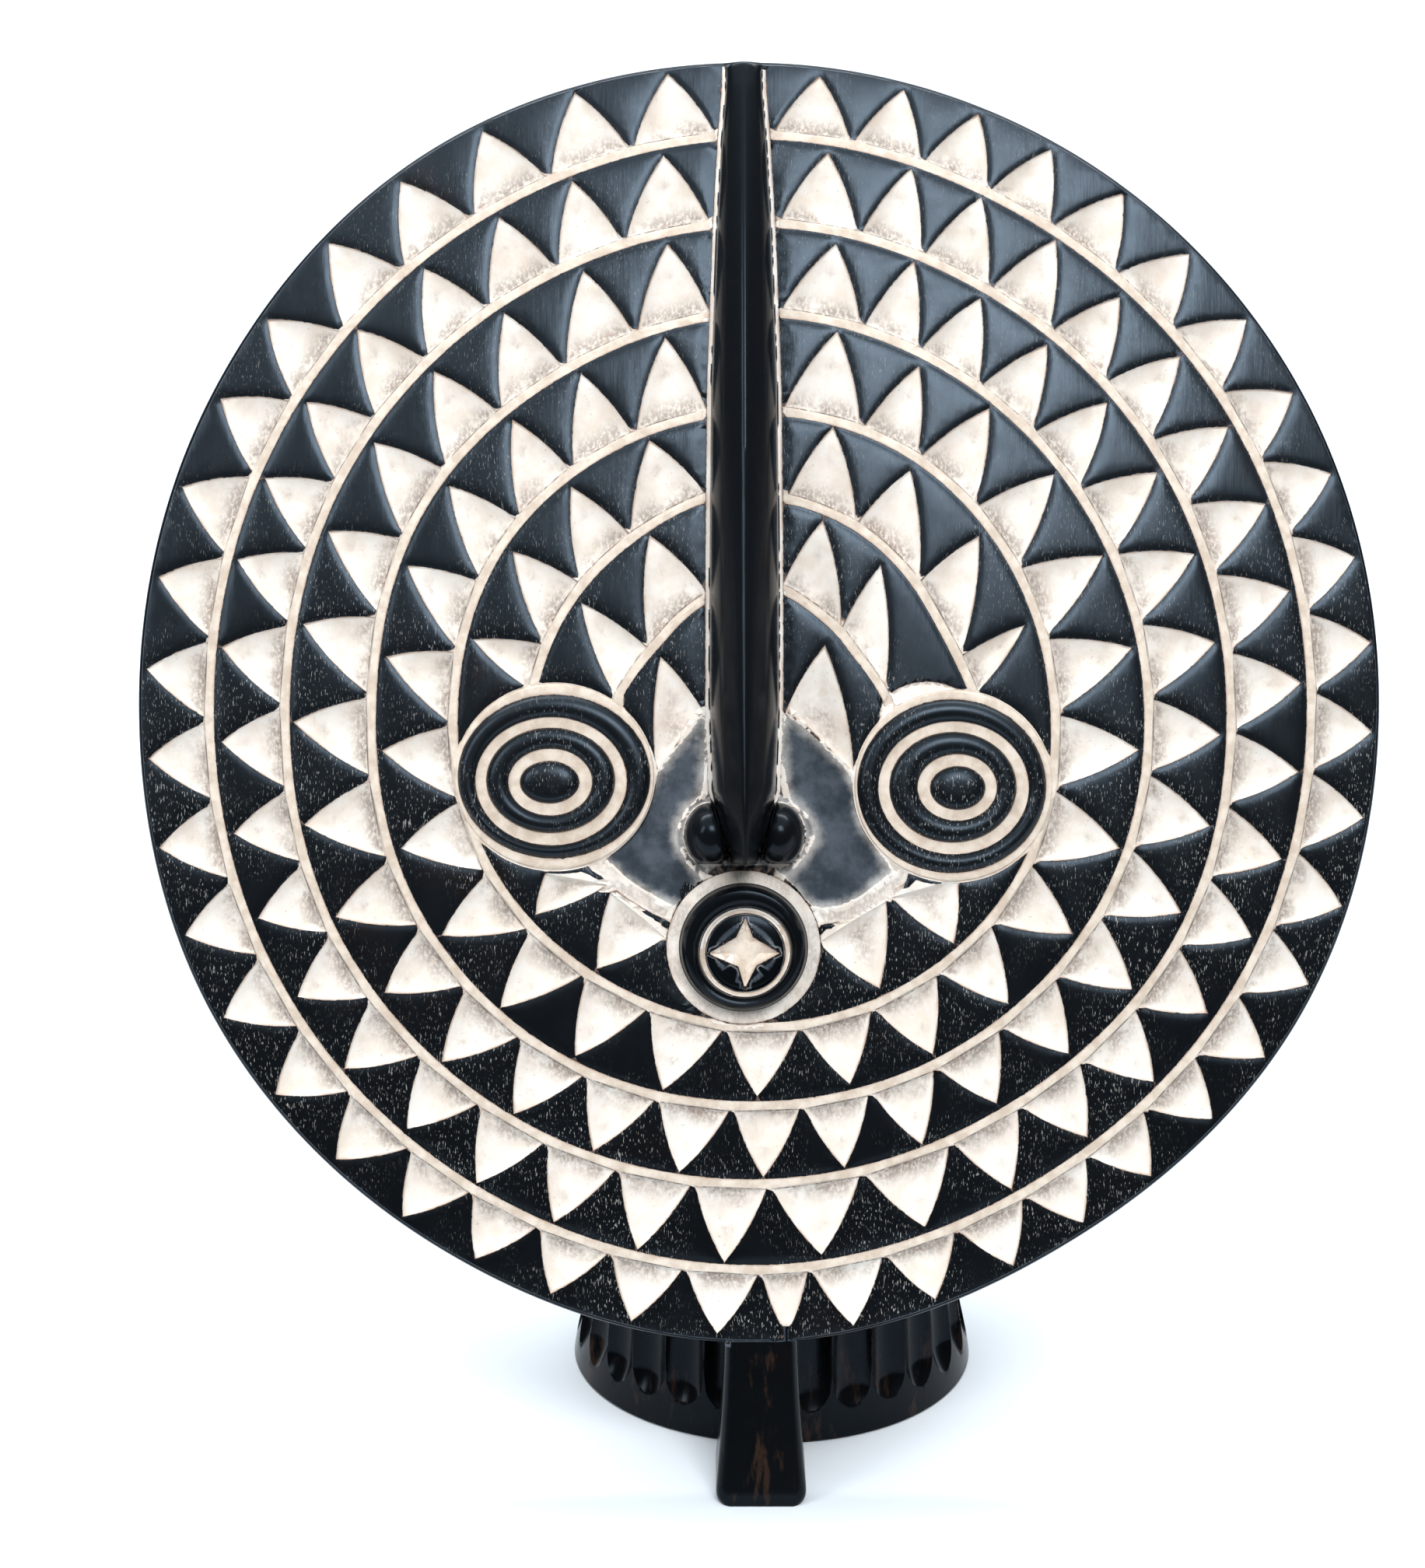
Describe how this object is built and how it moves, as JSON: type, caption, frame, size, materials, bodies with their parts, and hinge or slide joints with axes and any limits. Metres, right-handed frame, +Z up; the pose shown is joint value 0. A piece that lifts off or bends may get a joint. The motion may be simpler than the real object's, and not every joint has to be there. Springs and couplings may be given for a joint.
{
  "type": "carved sun mask",
  "caption": "Carved wooden sun mask: an oval disc of chip-carved rings with a ridge nose, ringed eyes and round mouth, standing on the fluted collar of its hollow hood",
  "frame": {"origin": "on the ground under the middle of the whole mask's box", "axes": "+Z up; the face looks towards -Y and leans back, +X is the viewer's right of the face"},
  "size_m": [0.5024, 0.2231, 0.5552],
  "materials": {
    "stained_wood": "black-stained carved wood, rubbed to a shine, with cream paint in the cuts"
  },
  "bodies": {
    "root": {"mask": "stained_wood"}
  },
  "joints": []
}
